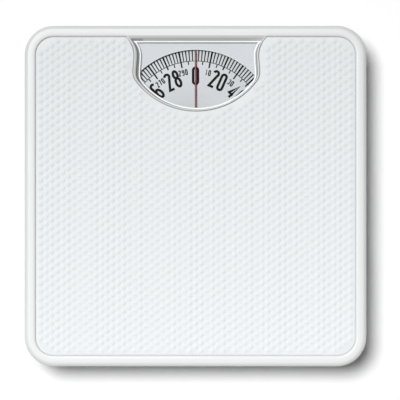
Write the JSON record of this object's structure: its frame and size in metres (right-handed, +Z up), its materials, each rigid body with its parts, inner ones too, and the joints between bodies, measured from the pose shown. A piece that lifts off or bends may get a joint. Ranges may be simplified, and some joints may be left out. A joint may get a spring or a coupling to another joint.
{
  "type": "mechanical dial platform scale",
  "caption": "Flat square platform scale with an embossed mat, a window over a turning dial at its rear edge, and a spring and lever mechanism between tray and platform.",
  "frame": {"origin": "on the floor, under the centre of the platform's outline", "axes": "+Z up, +Y towards the dial window, the edge away from the person standing on it, +X to that person's right"},
  "size_m": [0.268, 0.267, 0.048],
  "materials": {
    "white_plastic": "satin moulded plastic, warm white",
    "white_mat": "soft embossed vinyl, cool white",
    "clear_plastic": "clear polished plastic",
    "pale_print": "pale grey printed card",
    "red_print": "dark red line",
    "dial_print": "pale grey printed disc with black numerals",
    "painted_steel": "white stoved enamel on pressed steel",
    "grey_steel": "zinc-plated pressed steel",
    "bright_steel": "bright turned or rolled steel",
    "spring_steel": "oiled spring wire",
    "brass": "plain stamped and cut brass",
    "rubber": "matt black rubber",
    "grey_plastic": "grey moulded nylon"
  },
  "bodies": {
    "base": {"base_tray": "painted_steel", "foot_front_left": "rubber", "foot_front_right": "rubber", "foot_rear_left": "rubber", "foot_rear_right": "rubber", "fulcrum_bracket_long_left": "grey_steel", "fulcrum_bracket_long_right": "grey_steel", "fulcrum_bracket_short_left": "grey_steel", "fulcrum_bracket_short_right": "grey_steel", "bracket_rivet_long_left": "bright_steel", "bracket_rivet_long_right": "bright_steel", "bracket_rivet_short_left": "bright_steel", "bracket_rivet_short_right": "bright_steel", "dial_bracket": "grey_steel", "dial_bracket_screw_left": "bright_steel", "dial_bracket_screw_right": "bright_steel", "spring_bridge": "grey_steel", "crank_bracket": "grey_steel", "crank_pin": "bright_steel"},
    "platform": {"platform_cover": "white_plastic", "platform_mat": "white_mat", "dial_lens": "clear_plastic", "window_mask": "pale_print", "index_line": "red_print", "platform_plate": "painted_steel", "platform_screw_front_left": "bright_steel", "platform_screw_front_right": "bright_steel", "platform_screw_rear_left": "bright_steel", "platform_screw_rear_right": "bright_steel", "stirrup_long_left": "grey_steel", "stirrup_long_right": "grey_steel", "stirrup_short_left": "grey_steel", "stirrup_short_right": "grey_steel"},
    "long_lever_left": {"long_lever_left": "grey_steel", "fulcrum_pin_long_left": "bright_steel", "load_pin_long_left": "bright_steel", "lever_stud_left": "bright_steel"},
    "short_lever_left": {"short_lever_left": "grey_steel", "fulcrum_pin_short_left": "bright_steel", "load_pin_short_left": "bright_steel"},
    "long_lever_right": {"long_lever_right": "grey_steel", "fulcrum_pin_long_right": "bright_steel", "load_pin_long_right": "bright_steel", "lever_stud_right": "bright_steel"},
    "short_lever_right": {"short_lever_right": "grey_steel", "fulcrum_pin_short_right": "bright_steel", "load_pin_short_right": "bright_steel"},
    "calibration": {"calibration_plate": "bright_steel", "draw_bolt": "bright_steel"},
    "spring_yoke": {"spring_yoke": "bright_steel", "main_spring": "spring_steel"},
    "zero_wheel": {"zero_wheel": "grey_plastic", "adjusting_screw": "brass"},
    "bell_crank": {"bell_crank": "brass", "crank_spring": "spring_steel"},
    "rack": {"rack": "brass"},
    "dial": {"dial_disc": "dial_print", "dial_hub": "grey_plastic", "dial_shaft": "bright_steel", "pinion": "brass"}
  },
  "joints": [
    {"name": "platform_press", "type": "slide", "parent": "base", "child": "platform", "axis": [0, 0, -1], "range_m": [0, 0.0009281]},
    {"name": "long_lever_left_tilt", "type": "hinge", "parent": "base", "child": "long_lever_left", "pos_m": [-0.1, -0.098, 0.019], "axis": [-0.8944, 0.4472, 0], "range_deg": [0, 1.66]},
    {"name": "short_lever_left_tilt", "type": "hinge", "parent": "base", "child": "short_lever_left", "pos_m": [-0.1, 0.082, 0.019], "axis": [0.8944, 0.4472, 0], "range_deg": [0, 1.66]},
    {"name": "long_lever_right_tilt", "type": "hinge", "parent": "base", "child": "long_lever_right", "pos_m": [0.1, -0.098, 0.019], "axis": [-0.8944, -0.4472, 0], "range_deg": [0, 1.66]},
    {"name": "short_lever_right_tilt", "type": "hinge", "parent": "base", "child": "short_lever_right", "pos_m": [0.1, 0.082, 0.019], "axis": [0.8944, -0.4472, 0], "range_deg": [0, 1.66]},
    {"name": "calibration_drop", "type": "slide", "parent": "base", "child": "calibration", "axis": [0, 0, -1], "range_m": [0, 0.0059], "deforming": ["main_spring"]},
    {"name": "crank_turn", "type": "hinge", "parent": "base", "child": "bell_crank", "pos_m": [0, 0.076, 0.0099], "axis": [-1, 0, 0], "range_deg": [0, 47.56]},
    {"name": "rack_slide", "type": "slide", "parent": "base", "child": "rack", "axis": [0, 1, 0], "range_m": [0, 0.01414]},
    {"name": "dial_turn", "type": "hinge", "parent": "base", "child": "dial", "pos_m": [0, 0.0509, 0.037], "axis": [0, 0, 1], "range_deg": [0, 360], "stiffness_Nm_per_rad": 0.0314, "springref_deg": -3.44},
    {"name": "zero_wheel_turn", "type": "hinge", "parent": "base", "child": "zero_wheel", "pos_m": [0, 0.1155, 0.008], "axis": [0, 0, 1], "range_deg": [-360.05, 360.05]},
    {"name": "spring_yoke_lift", "type": "slide", "parent": "base", "child": "spring_yoke", "axis": [0, 0, 1], "range_m": [-0.0007, 0.0007]}
  ],
  "couplings": [
    {"joint": "platform_press", "follows": "dial_turn", "m_per_rad": 0.0001477},
    {"joint": "long_lever_left_tilt", "follows": "dial_turn", "ratio": 0.0046155},
    {"joint": "short_lever_left_tilt", "follows": "dial_turn", "ratio": 0.0046155},
    {"joint": "long_lever_right_tilt", "follows": "dial_turn", "ratio": 0.0046155},
    {"joint": "short_lever_right_tilt", "follows": "dial_turn", "ratio": 0.0046155},
    {"joint": "calibration_drop", "follows": "dial_turn", "m_per_rad": 0.00093917},
    {"joint": "crank_turn", "follows": "dial_turn", "ratio": 0.1321},
    {"joint": "rack_slide", "follows": "dial_turn", "m_per_rad": 0.00225},
    {"joint": "zero_wheel_turn", "follows": "spring_yoke_lift", "rad_per_m": 8976}
  ]
}
